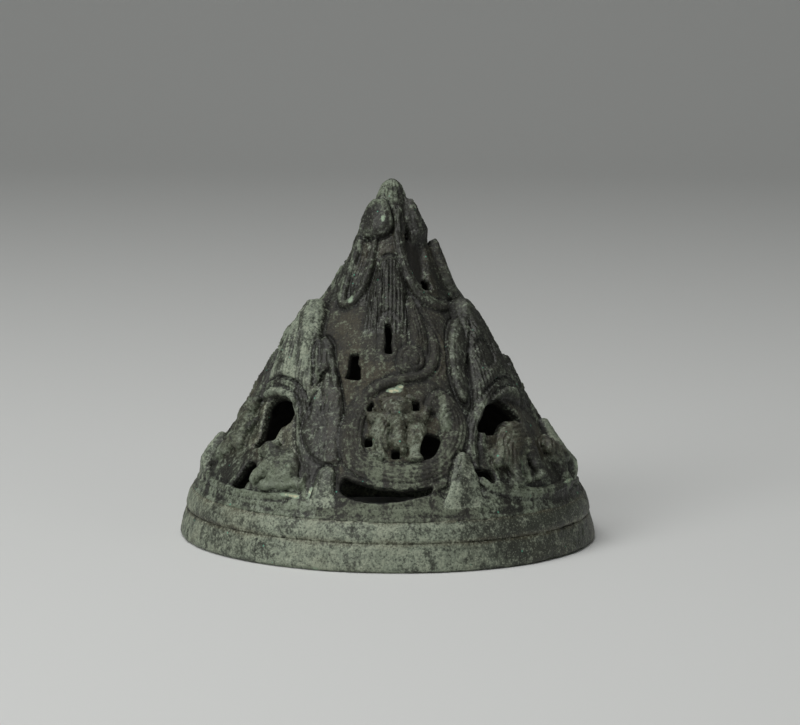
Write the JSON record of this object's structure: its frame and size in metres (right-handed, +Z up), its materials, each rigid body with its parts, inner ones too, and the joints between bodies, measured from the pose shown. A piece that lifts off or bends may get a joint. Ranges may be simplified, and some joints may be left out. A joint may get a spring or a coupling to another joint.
{
  "type": "hill censer cover",
  "caption": "Conical openwork cast bronze cover in the shape of a mountain, with layered peaks, arched openings with small beasts, and a plain two-band rim.",
  "frame": {"origin": "centre of the rim's foot, on the plane it rests on", "axes": "+Z up the mountain's axis, -Y toward the front bay with its beast in a ring, +X to the viewer's right"},
  "size_m": [0.12, 0.12, 0.103],
  "materials": {
    "pale_green_bronze": "cast bronze under a pale granular green patina",
    "dark_bronze": "cast bronze under a dark grey-green patina",
    "earthy_bronze": "cast bronze with brown earth in its recesses"
  },
  "bodies": {
    "root": {"rim": "pale_green_bronze", "shoulder_band": "pale_green_bronze", "foot_peak_1": "pale_green_bronze", "foot_peak_2": "pale_green_bronze", "foot_peak_3": "pale_green_bronze", "foot_peak_4": "pale_green_bronze", "foot_peak_5": "pale_green_bronze", "foot_peak_6": "pale_green_bronze", "foot_peak_7": "pale_green_bronze", "bay_wall_front_left": "dark_bronze", "bay_wall_front": "earthy_bronze", "bay_wall_front_right": "dark_bronze", "bay_wall_right": "earthy_bronze", "bay_wall_back_right": "dark_bronze", "bay_wall_back_left": "dark_bronze", "bay_wall_left": "earthy_bronze", "large_peak_front_left": "pale_green_bronze", "large_peak_front_right": "dark_bronze", "large_peak_back_right": "dark_bronze", "large_peak_back_left": "dark_bronze", "step_leaf_1": "dark_bronze", "step_leaf_2": "dark_bronze", "step_leaf_3": "dark_bronze", "step_leaf_4": "dark_bronze", "step_leaf_5": "dark_bronze", "step_leaf_6": "dark_bronze", "step_leaf_7": "dark_bronze", "upper_peak_front": "dark_bronze", "small_peak_front": "earthy_bronze", "cloud_scroll_front": "earthy_bronze", "squatting_beast_front": "dark_bronze", "upper_peak_right": "dark_bronze", "small_peak_right": "earthy_bronze", "cloud_scroll_right": "earthy_bronze", "squatting_beast_right": "dark_bronze", "upper_peak_left": "dark_bronze", "small_peak_left": "earthy_bronze", "cloud_scroll_left": "earthy_bronze", "squatting_beast_left": "dark_bronze", "free_tip_right": "dark_bronze", "free_tip_left": "dark_bronze", "summit_lobe_front_left": "dark_bronze", "summit_lobe_right": "dark_bronze", "summit_lobe_back": "dark_bronze", "summit_lobe_left": "dark_bronze", "summit_wall": "dark_bronze", "summit_peak": "dark_bronze", "kneeling_person_front_left": "dark_bronze", "sitting_bear_front_left": "dark_bronze", "walking_beast_front_right": "dark_bronze", "sitting_bear_front_right": "dark_bronze", "walking_beast_back_right": "dark_bronze", "walking_beast_back_left": "dark_bronze", "upper_wall": "earthy_bronze"}
  },
  "joints": []
}
